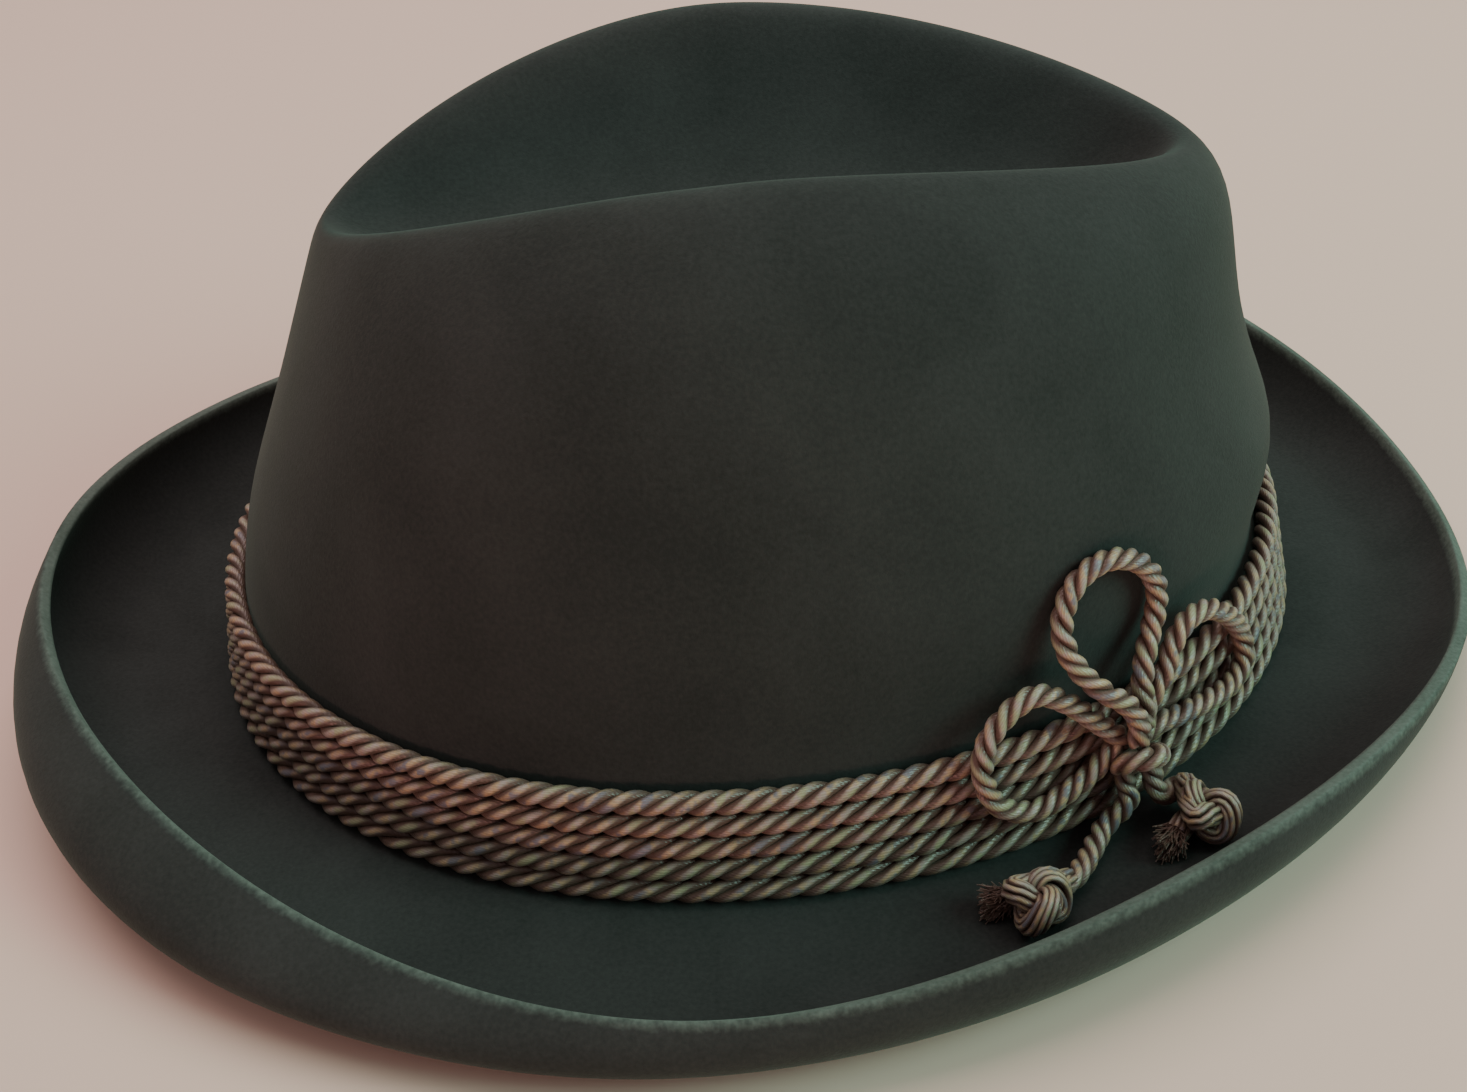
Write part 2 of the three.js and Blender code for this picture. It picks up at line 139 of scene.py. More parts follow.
# The two cord ends. start: where the end comes out of the wrap, hidden under it.
# tail: its route. knot: the middle of its knot. heading: the knot's turn, in degrees.
# stub: from the end of the knot's line to the tips of the fray, in mm in the row frame.
CORD_ENDS = {
    "left": {
        "start": (-2.6, 14.6, 8.0),
        "tail": [
            (-3.0, 11.4, 7.2), (-2.8, 9.4, 7.9), (-3.9, 7.6, 8.2), (-6.0, 6.0, 7.6),
            (-8.5, 5.0, 8.0), (-11.0, 4.7, 9.6), (-13.5, 4.6, 11.5), (-16.0, 4.8, 13.3),
            (-18.5, 5.4, 15.0),
        ],
        "knot": (-25.0, 7.0, 17.9),
        "heading": -128,
        "stub": (-4.5, -0.5, -0.6),
    },
    "right": {
        "start": (0.8, 14.4, 9.0),
        "tail": [
            (1.2, 11.2, 9.0), (1.2, 9.2, 9.5), (2.2, 7.3, 9.6), (4.0, 6.4, 9.2),
            (5.8, 6.6, 9.0), (7.0, 7.0, 9.8),
        ],
        "knot": (4.5, 7.2, 16.6),
        "heading": -62,
        "stub": (-3.2, -3.2, -0.6),
    },
}
CORD_IN_STUB = 0.5

# Overhand knot, in mm, and how far its line turns each way, in degrees
KNOT_WIDTH = 12.0
KNOT_DEPTH = 8.5
KNOT_TURN = 162

# Felt. The raw rim is found by its sharp edges, well outside the crown's foot.
SAME_PLACE = 0.002 * MM
RIM_ANGLE = math.radians(72)
RIM_CREASE = 0.6
RIM_REACH = 1.15
RIM_STEP = 0.5 * MM
# Painted highlight along the rim: full up to the first distance from it, gone at the second.
RIM_HIGHLIGHT_FULL = 0.9 * MM
RIM_HIGHLIGHT_END = 3.0 * MM
FELT_ROUNDING = 2
CAGE_ROUNDS = 4
FOLD_LOW = 62 * MM
FOLD_FADE = 12 * MM
FOLD_GRAIN = 0.8 * MM
FOLD_SHARE = 0.5
FOLD_ROUNDS = 70
FELT_WAVE = 0.5 * MM
FELT_WAVE_LENGTH = 60 * MM
FELT_WAVE_LOW = FELT_THICKNESS * 2
FELT_WAVE_SEED = 4

# Finish of the cord. Its filaments are too fine to show, so they are drawn as bundles.
FILAMENT_BUNDLES = 12
FILAMENT_LAY = 10 * MM
FILAMENT_NOISE = 0.4 * MM
FILAMENT_WANDER = 5.0
FILAMENT_RELIEF = 0.1 * MM
DYE_PATCH = 4.5 * MM
CORD_SHADE_REACH = 5.0 * MM

# Finish of the felt. Its hairs are too fine to show, so they are drawn as tufts.
NAP_PATCH = 28 * MM
NAP_PATCH_SHARE = 0.55
NAP_PATCH_RELIEF = 0.8 * MM
NAP_TUFT = 0.8 * MM
NAP_GRAIN = 0.5 * MM
NAP_GRAIN_RELIEF = 0.25 * MM
# Tuft size that makes the rim's painted highlight ragged.
RIM_HIGHLIGHT_TUFT = 1.6 * MM

FLOOR_HALF = 10.0

# Sockets of a Mix node, whose names repeat: first, second and result
VECTOR_A, VECTOR_B, VECTOR_MIXED = 4, 5, 1
COLOUR_A, COLOUR_B, COLOUR_MIXED = 6, 7, 2


def linear(value):
    """Linear colour of an sRGB hex value."""
    channels = [int(value[i:i + 2], 16) / 255 for i in (1, 3, 5)]
    return [c / 12.92 if c <= 0.04045 else ((c + 0.055) / 1.055) ** 2.4 for c in channels] + [1.0]


def add_node(tree, kind, inputs=(), output=0, stops=(), **settings):
    """Adds a node with its settings and links, and gives one of its outputs. Inputs come
    in order, or by name or number. Stops are a colour ramp's places and hex colours."""
    node = tree.nodes.new(kind)
    for name, value in settings.items():
        setattr(node, name, value)
    for key, value in inputs.items() if isinstance(inputs, dict) else enumerate(inputs):
        if isinstance(value, bpy.types.NodeSocket):
            tree.links.new(value, node.inputs[key])
        else:
            node.inputs[key].default_value = value
    if stops:
        elements = node.color_ramp.elements
        while len(elements) < len(stops):
            elements.new(1.0)
        for element, (place, colour) in zip(elements, stops):
            element.position = place
            element.color = linear(colour)
    return node.outputs[output]


# Lines round the crown

def crown_middle():
    low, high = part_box("band_cord_1")
    return Vector(((low.x + high.x) / 2, (low.y + high.y) / 2, 0))


def oval(half_length, half_width, turn):
    c, s = np.cos(turn), np.sin(turn)
    power = 2 / FOOT_ROUNDNESS
    return np.stack([
        half_length * np.sign(c) * np.abs(c) ** power,
        half_width * np.sign(s) * np.abs(s) ** power,
    ], -1)


def foot_sizes():
    """Half length and half width of the crown's foot, from the lowest row of the band."""
    low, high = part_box("band_cord_1")
    thickness = high.z - low.z
    out = thickness / 2 + BAND_CLEARANCE - ((low.z + high.z) / 2 - WALL_BOTTOM) * WALL_LEAN
    reach = out + thickness / 2
    return (high.x - low.x) / 2 - reach, (high.y - low.y) / 2 - reach


def girth(turn, out):
    """Points at a level distance out from the crown's foot, at these turns."""
    half_length, half_width = foot_sizes()
    points = oval(half_length, half_width, turn)
    ahead = oval(half_length, half_width, turn + CROWN_TURN_STEP)
    behind = oval(half_length, half_width, turn - CROWN_TURN_STEP)
    normal = np.stack([ahead[:, 1] - behind[:, 1], behind[:, 0] - ahead[:, 0]], -1)
    normal /= np.linalg.norm(normal, axis=1, keepdims=True)
    return points + normal * out, normal


def lengths_along(line):
    """The way along a line at each of its points."""
    steps = np.linalg.norm(np.diff(line, axis=0), axis=1)
    return np.concatenate([[0], np.cumsum(steps)])


def on_crown(route):
    """Points of a route, in metres, in the row frame."""
    turns = np.linspace(0, 2 * math.pi, CROWN_LINE_PARTS + 1)
    line, normals = girth(turns, 0.0)
    lengths = lengths_along(line)
    start = np.interp(math.radians(BOW_TURN % 360), turns, lengths)
    points = []
    for along, up, out in route:
        at = (start + along * MM) % lengths[-1]
        level = out * MM - (up * MM - WALL_BOTTOM) * WALL_LEAN
        foot = [np.interp(at, lengths, line[:, k]) for k in (0, 1)]
        normal = np.array([np.interp(at, lengths, normals[:, k]) for k in (0, 1)])
        normal /= np.linalg.norm(normal)
        points.append([foot[0] + normal[0] * level, foot[1] + normal[1] * level, up * MM])
    return np.array(points) + np.array(crown_middle())


def knot_line(place, heading):
    """The line of an overhand knot: an opened trefoil, drawn tight. A trefoil is six
    times its level scale wide and twice its rise deep."""
    level = (KNOT_WIDTH - KNOT_THICKNESS / MM) / 6
    rise = (KNOT_DEPTH - KNOT_THICKNESS / MM) / 2
    t = np.radians(np.linspace(-KNOT_TURN, KNOT_TURN, KNOT_LINE_POINTS))
    x = (np.sin(t) + 2 * np.sin(2 * t)) * level
    y = (np.cos(t) - 2 * np.cos(2 * t)) * level
    z = -np.sin(3 * t) * rise
    c, s = math.cos(math.radians(heading)), math.sin(math.radians(heading))
    return np.stack([c * x - s * y, s * x + c * y, z], -1) * MM + on_crown([place])


def smooth_path(points, step=CORD_STEP):
    """Even points along the smooth curve through a route's points."""
    p = np.asarray(points, float)
    p = np.vstack([2 * p[0] - p[1], p, 2 * p[-1] - p[-2]])
    found = []
    for a, b, c, d in zip(p[:-3], p[1:-2], p[2:-1], p[3:]):
        for t in np.linspace(0, 1, PATH_PARTS, endpoint=False):
            found.append(0.5 * (2 * b + (c - a) * t + (2 * a - 5 * b + 4 * c - d) * t * t
                                + (3 * b - a - 3 * c + d) * t ** 3))
    found = np.array(found + [p[-2]])
    lengths = lengths_along(found)
    even = np.linspace(0, lengths[-1], max(2, round(lengths[-1] / step)) + 1)
    return np.stack([np.interp(even, lengths, found[:, k]) for k in range(3)], -1)


# Camera

def make_camera():
    azimuth, elevation, roll = (
        math.radians(a) for a in (CAMERA_AZIMUTH, CAMERA_ELEVATION, CAMERA_ROLL)
    )
    back = Vector((
        math.sin(azimuth) * math.cos(elevation),
        -math.cos(azimuth) * math.cos(elevation),
        math.sin(elevation),
    ))
    right = (-back).cross(Vector((0, 0, 1))).normalized()
    up = back.cross(right)
    rolled_right = math.cos(roll) * right + math.sin(roll) * up
    rolled_up = math.cos(roll) * up - math.sin(roll) * right
    turn = Matrix((rolled_right, rolled_up, back)).transposed().to_4x4()
    place = CAMERA_TARGET + crown_middle() + back * CAMERA_DISTANCE
    data = bpy.data.cameras.new("camera")
    data.sensor_fit = "HORIZONTAL"
    data.sensor_width = SENSOR_WIDTH
    data.lens = CAMERA_FOCAL_PIXELS / IMAGE_WIDTH * SENSOR_WIDTH
    data.clip_start = CAMERA_CLIP_START
    camera = bpy.data.objects.new("camera", data)
    bpy.context.scene.collection.objects.link(camera)
    camera.matrix_world = Matrix.Translation(place) @ turn
    bpy.context.scene.camera = camera


# Twisted cord, made along curves by Geometry Nodes

def start_tree(name, result, sizes, counts):
    """A Geometry Nodes tree with its named inputs, and the sockets that give them."""
    tree = bpy.data.node_groups.new(name, "GeometryNodeTree")
    sockets = tree.interface
    sockets.new_socket("Curves", in_out="INPUT", socket_type="NodeSocketGeometry")
    for kind, defaults in (("NodeSocketFloat", sizes), ("NodeSocketInt", counts)):
        for label, default in defaults.items():
            made = sockets.new_socket(label, in_out="INPUT", socket_type=kind)
            made.default_value = default
    sockets.new_socket("Finish", in_out="INPUT", socket_type="NodeSocketMaterial")
    sockets.new_socket(result, in_out="OUTPUT", socket_type="NodeSocketGeometry")
    return tree, tree.nodes.new("NodeGroupInput").outputs


def end_tree(tree, mesh, finish):
    """Ends a tree in one smooth mesh with its finish."""
    smooth = add_node(tree, "GeometryNodeSetShadeSmooth", [mesh])
    whole = add_node(tree, "GeometryNodeRealizeInstances", [smooth])
    dressed = add_node(tree, "GeometryNodeSetMaterial", {"Geometry": whole, "Material": finish})
    tree.links.new(dressed, tree.nodes.new("NodeGroupOutput").inputs[0])
    return tree


def twisted_cord_tree():
    """Plies that wind round each curve. Each ply keeps its length, the direction round
    it and how far it faces out, which the cord's material reads for its bundles and painted
    shade."""
    tree, given = start_tree(
        "twisted_cord", "Cord",
        {"Thickness": CORD_THICKNESS, "Lay": CORD_LAY, "Step": CORD_STEP},
        {"Plies": PLIES, "Sides": PLY_SIDES},
    )
    add = partial(add_node, tree)

    # The plies touch each other round the cord's middle:
    # offset = radius / sin(pi / plies), thickness = 2 * (offset + radius)
    share = add("ShaderNodeMath", [math.pi, given["Plies"]], operation="DIVIDE")
    share = add("ShaderNodeMath", [share], operation="SINE")
    ratio = add("ShaderNodeMath", [1.0, share], operation="DIVIDE")
    whole = add("ShaderNodeMath", [ratio, 1.0], operation="ADD")
    whole = add("ShaderNodeMath", [2.0, whole], operation="MULTIPLY")
    radius = add("ShaderNodeMath", [given["Thickness"], whole], operation="DIVIDE")
    offset = add("ShaderNodeMath", [radius, ratio], operation="MULTIPLY")

    even = add("GeometryNodeResampleCurve",
               {"Curve": given["Curves"], "Length": given["Step"]}, mode="LENGTH")
    copies = add("GeometryNodeDuplicateElements",
                 {"Geometry": even, "Amount": given["Plies"]}, domain="SPLINE")
    ply = copies.node.outputs["Duplicate Index"]
    length = add("GeometryNodeSplineParameter", output="Length")
    normal = add("GeometryNodeInputNormal")
    tangent = add("GeometryNodeInputTangent")

    # Uneven twist, as in a cord laid by hand
    along = add("ShaderNodeMath", [length, WANDER_PER_METRE], operation="MULTIPLY")
    apart = add("ShaderNodeMath", [ply, WANDER_PER_PLY], operation="MULTIPLY")
    at = add("ShaderNodeMath", [along, apart], operation="ADD")
    wander = add("ShaderNodeTexNoise", {"W": at, "Scale": 1.0, "Detail": 1.0},
                 noise_dimensions="1D")
    wander = add("ShaderNodeMath", [wander, 0.5], operation="SUBTRACT")
    wander = add("ShaderNodeMath", [wander, WANDER_RANGE], operation="MULTIPLY")

    # S twist: on a level row each ply runs from lower left to upper right.
    turns = add("ShaderNodeMath", [length, given["Lay"]], operation="DIVIDE")
    first = add("ShaderNodeMath", [ply, given["Plies"]], operation="DIVIDE")
    turns = add("ShaderNodeMath", [turns, first], operation="ADD")
    angle = add("ShaderNodeMath", [turns, -2 * math.pi], operation="MULTIPLY")
    angle = add("ShaderNodeMath", [angle, wander], operation="ADD")
    cosine = add("ShaderNodeMath", [angle], operation="COSINE")
    sine = add("ShaderNodeMath", [angle], operation="SINE")
    sideways = add("ShaderNodeVectorMath", [tangent, normal], operation="CROSS_PRODUCT")
    outward = add("ShaderNodeVectorMath", {0: normal, "Scale": cosine}, operation="SCALE")
    sideways = add("ShaderNodeVectorMath", {0: sideways, "Scale": sine}, operation="SCALE")
    away = add("ShaderNodeVectorMath", [outward, sideways], operation="ADD")
    marked = add("GeometryNodeStoreNamedAttribute",
                 {"Geometry": copies, "Name": "ply_away", "Value": away},
                 data_type="FLOAT_VECTOR", domain="POINT")
    away = add("GeometryNodeInputNamedAttribute", {"Name": "ply_away"}, output="Attribute",
               data_type="FLOAT_VECTOR")
    move = add("ShaderNodeVectorMath", {0: away, "Scale": offset}, operation="SCALE")
    wound = add("GeometryNodeSetPosition", {"Geometry": marked, "Offset": move})
    measured = add("GeometryNodeStoreNamedAttribute",
                   {"Geometry": wound, "Name": "ply_length", "Value": length},
                   data_type="FLOAT", domain="POINT")

    circle = add("GeometryNodeCurvePrimitiveCircle",
                 {"Resolution": given["Sides"], "Radius": radius})
    side = add("ShaderNodeVectorMath", [add("GeometryNodeInputPosition")],
               operation="NORMALIZE")
    section = add("GeometryNodeStoreNamedAttribute",
                  {"Geometry": circle, "Name": "ply_side", "Value": side},
                  data_type="FLOAT_VECTOR", domain="POINT")
    tube = add("GeometryNodeCurveToMesh",
               {"Curve": measured, "Profile Curve": section, "Fill Caps": True})
    facing = add("ShaderNodeVectorMath", [away, normal], output="Value",
                 operation="DOT_PRODUCT")
    faced = add("GeometryNodeStoreNamedAttribute",
                {"Geometry": tube, "Name": "ply_out", "Value": facing},
                data_type="FLOAT", domain="POINT")
    return end_tree(tree, faced, given["Finish"])


def frayed_end_tree():
    """Loose filaments that start together along a short line and spread from it."""
    tree, given = start_tree(
        "frayed_end", "Fray",
        {"Spread": FRAY_SPREAD, "Thickness": FRAY_THICKNESS},
        {"Filaments": FRAY_COUNT, "Seed": FRAY_SEED},
    )
    add = partial(add_node, tree)
    even = add("GeometryNodeResampleCurve",
               {"Curve": given["Curves"], "Count": FRAY_POINTS}, mode="COUNT")
    copies = add("GeometryNodeDuplicateElements",
                 {"Geometry": even, "Amount": given["Filaments"]}, domain="SPLINE")
    filament = copies.node.outputs["Duplicate Index"]

    # Each filament is off the line by one random way at its start, another at its tip.
    low, high = [-FRAY_START_SHARE] * 3, [FRAY_START_SHARE] * 3
    start = add("FunctionNodeRandomValue",
                {0: low, 1: high, "ID": filament, "Seed": given["Seed"]},
                data_type="FLOAT_VECTOR")
    tip_seed = add("ShaderNodeMath", [given["Seed"], FRAY_TIP_SEED_STEP], operation="ADD")
    tip = add("FunctionNodeRandomValue",
              {0: [-1.0] * 3, 1: [1.0] * 3, "ID": filament, "Seed": tip_seed},
              data_type="FLOAT_VECTOR")
    along = add("GeometryNodeSplineParameter", output="Factor")
    opened = add("ShaderNodeMath", [along, FRAY_POWER], operation="POWER")
    off = add("ShaderNodeMix", {0: opened, VECTOR_A: start, VECTOR_B: tip},
              output=VECTOR_MIXED, data_type="VECTOR")
    off = add("ShaderNodeVectorMath", {0: off, "Scale": given["Spread"]}, operation="SCALE")
    spread = add("GeometryNodeSetPosition", {"Geometry": copies, "Offset": off})

    radius = add("ShaderNodeMath", [given["Thickness"], 0.5], operation="MULTIPLY")
    section = add("GeometryNodeCurvePrimitiveCircle",
                  {"Resolution": FRAY_SIDES, "Radius": radius})
    tube = add("GeometryNodeCurveToMesh",
               {"Curve": spread, "Profile Curve": section, "Fill Caps": True})
    # The cord's material reads this for its painted groove shade: no filament lies in a groove.
    faced = add("GeometryNodeStoreNamedAttribute",
                {"Geometry": tube, "Name": "ply_out", "Value": 0.5},
                data_type="FLOAT", domain="POINT")
    return end_tree(tree, faced, given["Finish"])


def curve_object(name, lines, closed):
    data = bpy.data.curves.new(name, "CURVE")
    data.dimensions = "3D"
    for line in lines:
        spline = data.splines.new("POLY")
        spline.points.add(len(line) - 1)
        spline.points.foreach_set("co", np.hstack([line, np.ones((len(line), 1))]).ravel())
        spline.use_cyclic_u = closed
    made = bpy.data.objects.new(name, data)
    bpy.context.scene.collection.objects.link(made)
    return made


def set_inputs(modifier, values):
    """Fills a Geometry Nodes modifier's inputs by their names."""
    for item in modifier.node_group.interface.items_tree:
        if item.item_type == "SOCKET" and item.in_out == "INPUT" and item.name in values:
            modifier[item.identifier] = values[item.name]


def baked(source, name):
    """The evaluated object as a plain mesh object; the source is removed."""
    depsgraph = bpy.context.evaluated_depsgraph_get()
    mesh = bpy.data.meshes.new_from_object(source.evaluated_get(depsgraph), depsgraph=depsgraph)
    bpy.data.objects.remove(source)
    mesh.name = name
    made = bpy.data.objects.new(name, mesh)
    bpy.context.scene.collection.objects.link(made)
    return made


def made_along(name, lines, finish, tree, closed=False, **values):
    """A mesh that a Geometry Nodes tree makes along lines."""
    source = curve_object(name + "_line", lines, closed)
    modifier = source.modifiers.new("make", "NODES")
    modifier.node_group = tree
    set_inputs(modifier, {"Finish": finish, **values})
    return baked(source, name)


# Materials

def new_material(name, finish):
    """A material whose shader has these values on its own sockets."""
    material = bpy.data.materials.new(name)
    material.use_nodes = True
    shader = material.node_tree.nodes["Principled BSDF"]
    for socket, value in finish.items():
        shader.inputs[socket].default_value = value
    return material, material.node_tree, shader


def rayon_cord():
    """Rayon cord, three yarns twisted and laid: fine glossy filaments run along each
    ply, so it shines in short slanted lights, and its grooves get a painted dark brown shade.
    Its dye differs from place to place, from beige to grey and straw."""
    material, tree, shader = new_material("twisted_rayon_cord", {
        "Roughness": 0.3,
        "Sheen Weight": 0.2,
        "Sheen Roughness": 0.35,
        "Sheen Tint": linear("#d8cbb4"),
    })
    add = partial(add_node, tree)
    place = add("ShaderNodeTexCoord", output="Object")

    # Filament bundles wind the other way from the plies.
    side = add("ShaderNodeAttribute", output="Vector", attribute_name="ply_side")
    across = add("ShaderNodeSeparateXYZ", [side]).node.outputs
    angle = add("ShaderNodeMath", [across["Y"], across["X"]], operation="ARCTAN2")
    along = add("ShaderNodeAttribute", output="Fac", attribute_name="ply_length")
    along = add("ShaderNodeMath", [along, 2 * math.pi / FILAMENT_LAY], operation="MULTIPLY")
    phase = add("ShaderNodeMath", [angle, along], operation="SUBTRACT")
    phase = add("ShaderNodeMath", [phase, FILAMENT_BUNDLES], operation="MULTIPLY")
    wander = add("ShaderNodeTexNoise",
                 {"Vector": place, "Scale": 1 / FILAMENT_NOISE, "Detail": 2.0})
    wander = add("ShaderNodeMath", [wander, FILAMENT_WANDER], operation="MULTIPLY")
    phase = add("ShaderNodeMath", [phase, wander], operation="ADD")
    filament = add("ShaderNodeMath", [phase], operation="SINE")
    filament = add("ShaderNodeMath", [filament, 0.5, 0.5], operation="MULTIPLY_ADD")

    patch = add("ShaderNodeTexNoise", {"Vector": place, "Scale": 1 / DYE_PATCH, "Detail": 3.0})
    dye = add("ShaderNodeValToRGB", [patch], stops=[
        (0.37, "#787e88"), (0.45, "#bda981"), (0.53, "#aba39e"), (0.60, "#a5ab88"),
    ])
    # Painted shade between the filament bundles: the dye is darker where their relief is low.
    bundle_light_share = add("ShaderNodeMath", [filament, 0.35, 0.65], operation="MULTIPLY_ADD")
    bundle_shaded_dye = add("ShaderNodeMix", {0: bundle_light_share, COLOUR_A: linear("#75655a"), COLOUR_B: dye},
               output=COLOUR_MIXED, data_type="RGBA")

    # Painted shade: darker brown in the grooves between plies and where cords lie against each
    # other.
    crest = add("ShaderNodeAttribute", output="Fac", attribute_name="ply_out")
    crest = add("ShaderNodeMapRange", {"Value": crest, "From Min": 0.4, "From Max": 1.0},
                interpolation_type="SMOOTHSTEP")
    room = add("ShaderNodeAmbientOcclusion", {"Distance": CORD_SHADE_REACH}, output="AO",
               samples=3)
    room = add("ShaderNodeMapRange", {"Value": room, "From Min": 0.5, "From Max": 0.95})
    clear_of_painted_shade = add("ShaderNodeMath", [crest, room], operation="MULTIPLY")
    colour = add("ShaderNodeMix", {0: clear_of_painted_shade, COLOUR_A: linear("#635249"), COLOUR_B: bundle_shaded_dye},
                 output=COLOUR_MIXED, data_type="RGBA")
    relief = add("ShaderNodeBump",
                 {"Strength": 0.4, "Distance": FILAMENT_RELIEF, "Height": filament})
    tree.links.new(colour, shader.inputs["Base Color"])
    tree.links.new(relief, shader.inputs["Normal"])
    return material


def velour_felt():
    """Fur felt with a short brushed nap: matt, mottled where the nap lies in other
    directions, lighter where it is seen at a flat angle, with a painted highlight along the rim."""
    material, tree, shader = new_material("brushed_velour_felt", {
        "Roughness": 0.92,
        "Specular IOR Level": 0.2,
        "Sheen Weight": 0.5,
        "Sheen Roughness": 0.45,
        "Sheen Tint": linear("#6d8478"),
    })
    add = partial(add_node, tree)
    place = add("ShaderNodeTexCoord", output="Object")
    patches = add("ShaderNodeTexNoise", {"Vector": place, "Scale": 1 / NAP_PATCH,
                                         "Detail": 3.0, "Distortion": 0.4})
    tufts = add("ShaderNodeTexNoise", {"Vector": place, "Scale": 1 / NAP_TUFT, "Detail": 3.0})
    broad = add("ShaderNodeMath", [patches, NAP_PATCH_SHARE], operation="MULTIPLY")
    fine = add("ShaderNodeMath", [tufts, 1 - NAP_PATCH_SHARE], operation="MULTIPLY")
    tone = add("ShaderNodeMath", [broad, fine], operation="ADD")
    body = add("ShaderNodeValToRGB", [tone], stops=[(0.34, "#272c2b"), (0.66, "#353a39")])
    # Lighter colour of the painted highlight along the rim.
    edge = add("ShaderNodeValToRGB", [tone], stops=[(0.34, "#48574f"), (0.66, "#62726a")])

    # Painted highlight along the rim; its line is ragged, from hairs that stand over it.
    rim_light_share = add("ShaderNodeAttribute", output="Fac", attribute_name="rim_highlight")
    ragged = add("ShaderNodeTexNoise",
                 {"Vector": place, "Scale": 1 / RIM_HIGHLIGHT_TUFT, "Detail": 2.0})
    ragged = add("ShaderNodeMath", [ragged, 0.5], operation="SUBTRACT")
    ragged = add("ShaderNodeMath", [rim_light_share, ragged], operation="ADD")
    rim_lit = add("ShaderNodeMath", [ragged, rim_light_share], operation="MULTIPLY")
    rim_lit = add("ShaderNodeMapRange", {"Value": rim_lit, "From Min": 0.1, "From Max": 0.8})
    colour = add("ShaderNodeMix", {0: rim_lit, COLOUR_A: body, COLOUR_B: edge},
                 output=COLOUR_MIXED, data_type="RGBA")

    grain = add("ShaderNodeTexNoise", {"Vector": place, "Scale": 1 / NAP_GRAIN,
                                       "Detail": 3.0, "Roughness": 0.65})
    relief = add("ShaderNodeBump",
                 {"Strength": 0.35, "Distance": NAP_GRAIN_RELIEF, "Height": grain})
    relief = add("ShaderNodeBump", {"Strength": 0.3, "Distance": NAP_PATCH_RELIEF,
                                    "Height": patches, "Normal": relief})
    tree.links.new(colour, shader.inputs["Base Color"])
    tree.links.new(relief, shader.inputs["Normal"])
    return material


# Felt

def rim_line(mesh):
    """Middles of the faces of the raw rim: those between two sharp edges that lie
    well outside the crown's foot. Their long edges get a crease."""
    half_length, half_width = foot_sizes()
    middle = crown_middle()
    work = bmesh.new()
    work.from_mesh(mesh)
    bmesh.ops.remove_doubles(work, verts=work.verts, dist=SAME_PLACE)
    bmesh.ops.join_triangles(work, faces=work.faces, angle_face_threshold=math.pi,
                             angle_shape_threshold=math.pi)
    crease = work.edges.layers.float.new("crease_edge")

    def outside(place):
        p = place - middle
        return math.hypot(p.x / half_length, p.y / half_width) > RIM_REACH

    sharp = {e for e in work.edges
             if e.calc_face_angle() > RIM_ANGLE and outside(e.verts[0].co)}
    for edge in sharp:
        edge[crease] = RIM_CREASE
    line = [f.calc_center_median() for f in work.faces
            if sum(e in sharp for e in f.edges) >= 2]
    work.to_mesh(mesh)
    work.free()
    return line


def mark_rim_highlight(mesh, line):
    """How strongly the painted highlight along the rim shows, from 1 on the rim to 0 on the felt
    beside it.
    """
    turns = [math.atan2(p.y, p.x) for p in line]
    ordered = np.array([line[i] for i in np.argsort(turns)])
    dense = smooth_path(np.vstack([ordered, ordered[:1]]), RIM_STEP)
    nearest = KDTree(len(dense))
    for i, p in enumerate(dense):
        nearest.insert(p, i)
    nearest.balance()
    rim_light_share = mesh.attributes.new("rim_highlight", "FLOAT", "POINT")
    for i, vertex in enumerate(mesh.vertices):
        away = nearest.find(vertex.co)[2]
        share = (RIM_HIGHLIGHT_END - away) / (RIM_HIGHLIGHT_END - RIM_HIGHLIGHT_FULL)
        rim_light_share.data[i].value = min(1.0, max(0.0, share))


def fit_cage(made):
    """Moves the cage until the rounded surface passes through the CAD's points."""
    places = [v.co.copy() for v in made.data.vertices]
    for _ in range(CAGE_ROUNDS):
        depsgraph = bpy.context.evaluated_depsgraph_get()
        rounded = made.evaluated_get(depsgraph).data.vertices
        off = [place - rounded[i].co for i, place in enumerate(places)]
        for vertex, move in zip(made.data.vertices, off):
            vertex.co += move
        made.data.update()


def soften_folds(mesh):
    """Rounds the folds of the crown's top, as pressed felt has no sharp ones. The
    top is then stretched back to its height."""
    count = len(mesh.vertices)
    places = np.empty(count * 3)
    mesh.vertices.foreach_get("co", places)
    places = places.reshape(-1, 3)
    ends = np.empty(len(mesh.edges) * 2, dtype=np.int64)
    mesh.edges.foreach_get("vertices", ends)
    ends = ends.reshape(-1, 2)
    tips, others = np.concatenate([ends, ends[:, ::-1]]).T
    joined = np.bincount(tips, minlength=count)
    reach = np.linalg.norm(places[tips] - places[others], axis=1)
    spacing = np.bincount(tips, reach, minlength=count) / joined
    # The same distance is smoothed everywhere, however far apart the points are.
    share = FOLD_SHARE * np.minimum(1, FOLD_GRAIN / spacing) ** 2
    share *= np.clip((places[:, 2] - FOLD_LOW) / FOLD_FADE, 0, 1)
    top = places[:, 2] > FOLD_LOW
    height = places[:, 2].max() - FOLD_LOW
    for _ in range(FOLD_ROUNDS):
        around = np.stack([np.bincount(tips, places[others, k], minlength=count)
                           for k in range(3)], -1) / joined[:, None]
        places += share[:, None] * (around - places)
    stretch = height / (places[:, 2].max() - FOLD_LOW)
    places[top, 2] = FOLD_LOW + (places[top, 2] - FOLD_LOW) * stretch
    mesh.vertices.foreach_set("co", places.ravel())


def make_uneven(mesh):
    """A slight wave in the felt, above the part that rests on the floor."""
    noise.seed_set(FELT_WAVE_SEED)
    for vertex in mesh.vertices:
        if vertex.co.z > FELT_WAVE_LOW:
            vertex.co += noise.noise_vector(vertex.co / FELT_WAVE_LENGTH) * FELT_WAVE
        vertex.co.z = max(vertex.co.z, 0.0)


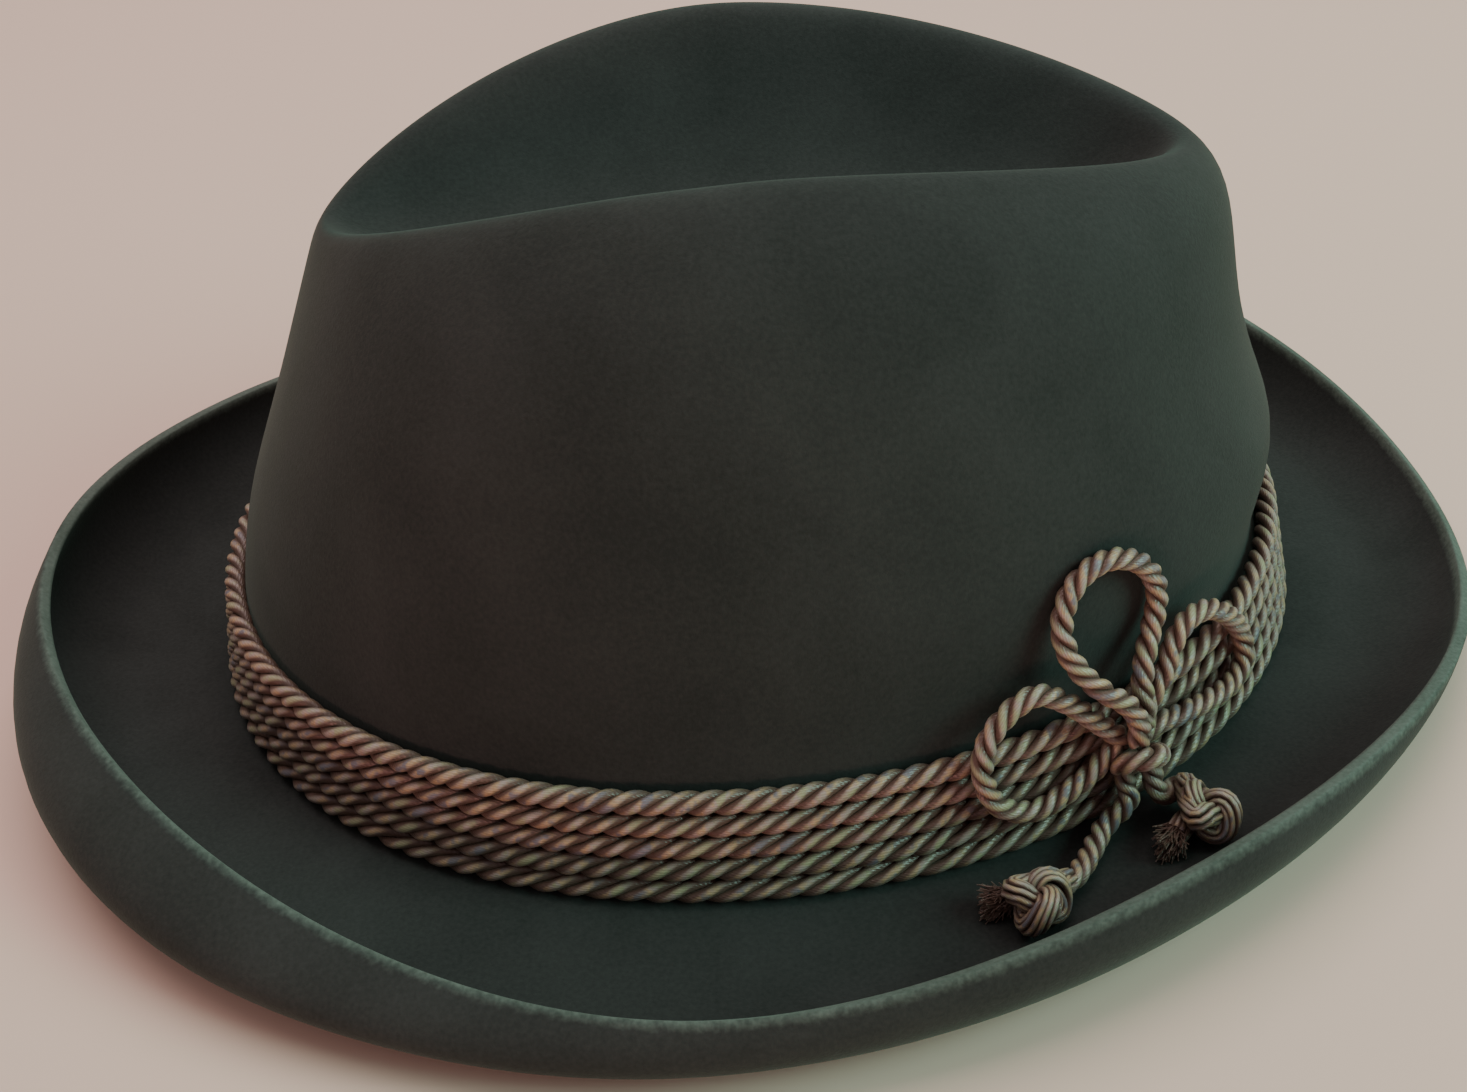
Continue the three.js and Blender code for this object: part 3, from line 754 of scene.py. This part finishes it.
def make_felt():
    """The felt body: the CAD shell, joined to quads, rounded and gently uneven."""
    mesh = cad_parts["felt_body"].data.copy()
    mesh.name = "felt_hat_body"
    line = rim_line(mesh)
    mesh.materials.clear()
    mesh.materials.append(velour_felt())
    made = bpy.data.objects.new("felt_hat_body", mesh)
    bpy.context.scene.collection.objects.link(made)
    rounding = made.modifiers.new("rounding", "SUBSURF")
    rounding.levels = rounding.render_levels = FELT_ROUNDING
    fit_cage(made)
    made = baked(made, "felt_hat_body")
    # Painted highlight along the raw rim.
    mark_rim_highlight(made.data, line)
    soften_folds(made.data)
    make_uneven(made.data)
    for polygon in made.data.polygons:
        polygon.use_smooth = True
    return made


# Stage and light

def make_stage():
    half = FLOOR_HALF
    mesh = bpy.data.meshes.new("floor")
    mesh.from_pydata([(-half, -half, 0), (half, -half, 0), (half, half, 0), (-half, half, 0)],
                     [], [(0, 1, 2, 3)])
    floor = bpy.data.objects.new("floor", mesh)
    bpy.context.scene.collection.objects.link(floor)
    material, _, _ = new_material(
        "pale_floor", {"Base Color": linear("#e6cfbf"), "Roughness": 0.7})
    mesh.materials.append(material)
    world = bpy.data.worlds.new("studio")
    world.use_nodes = True
    background = world.node_tree.nodes["Background"]
    background.inputs["Color"].default_value = linear("#ebcfce")
    background.inputs["Strength"].default_value = 0.4
    bpy.context.scene.world = world


def make_light(name, place, power, width, height, colour):
    """A soft light that faces the hat."""
    data = bpy.data.lights.new(name, "AREA")
    data.shape = "RECTANGLE"
    data.energy = power
    data.size = width
    data.size_y = height
    data.color = linear(colour)[:3]
    lamp = bpy.data.objects.new(name, data)
    bpy.context.scene.collection.objects.link(lamp)
    lamp.location = place
    lamp.rotation_euler = (-Vector(place)).to_track_quat("-Z", "Y").to_euler()


# Scene

def dress(piece, node):
    """A piece that stands for a node and rides on the one body."""
    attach(piece, "root")
    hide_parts(node)


make_camera()
cord_finish = rayon_cord()
cord_tree = twisted_cord_tree()
fray_tree = frayed_end_tree()

for side, given in CORD_ENDS.items():
    # Each end starts inside the wrap and runs on into its knot.
    path = smooth_path(on_crown([given["start"], *given["tail"], given["knot"]]))
    end = made_along(f"{side}_tail_cord", [path], cord_finish, cord_tree)
    dress(end, f"{side}_tail")

    line = knot_line(given["knot"], given["heading"])
    stub = np.array(given["stub"]) * MM
    points = np.vstack([on_crown(given["tail"][-1:]), line, line[-1] + CORD_IN_STUB * stub])
    knot = made_along(f"{side}_overhand_knot", [smooth_path(points)], cord_finish, cord_tree,
                      Thickness=KNOT_THICKNESS, Lay=KNOT_LAY, Plies=KNOT_YARNS)
    dress(knot, f"{side}_end_knot")

    fray = made_along(f"{side}_frayed_end", [np.array([line[-1], line[-1] + stub])],
                      cord_finish, fray_tree)
    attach(fray, "root")

turns = math.radians(BOW_TURN) + np.linspace(0, 2 * math.pi, BAND_LINE_PARTS + 1)[:-1]
for row in range(1, BAND_ROWS + 1):
    low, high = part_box(f"band_cord_{row}")
    out = (high.x - low.x) / 2 - (high.z - low.z) / 2 - foot_sizes()[0]
    line, _ = girth(turns, out)
    heights = np.full((len(line), 1), (low.z + high.z) / 2)
    line = np.hstack([line, heights]) + np.array(crown_middle())
    # A whole number of turns, so that the plies meet where the ring closes
    around = lengths_along(np.vstack([line, line[:1]]))[-1]
    lays = round(around / BAND_LAYS[row - 1])
    piece = made_along(f"band_row_{row}", [line], cord_finish, cord_tree, closed=True,
                       Thickness=BAND_THICKNESS, Lay=float(around / lays))
    dress(piece, f"band_cord_{row}")

bow = made_along("cord_bow", [smooth_path(on_crown(r)) for r in BOW_ROUTES.values()],
                 cord_finish, cord_tree)
dress(bow, "bow")

dress(make_felt(), "felt_body")

make_stage()
make_light("window", (1.05, -0.35, 0.7), power=13.0, width=0.7, height=0.7, colour="#b2f0df")
make_light("sky", (-0.1, 0.5, 1.3), power=18.0, width=1.4, height=1.4, colour="#f6e0dc")
make_light("bounce", (-0.4, -0.95, 0.07), power=3.2, width=0.9, height=0.12, colour="#ffb0a6")
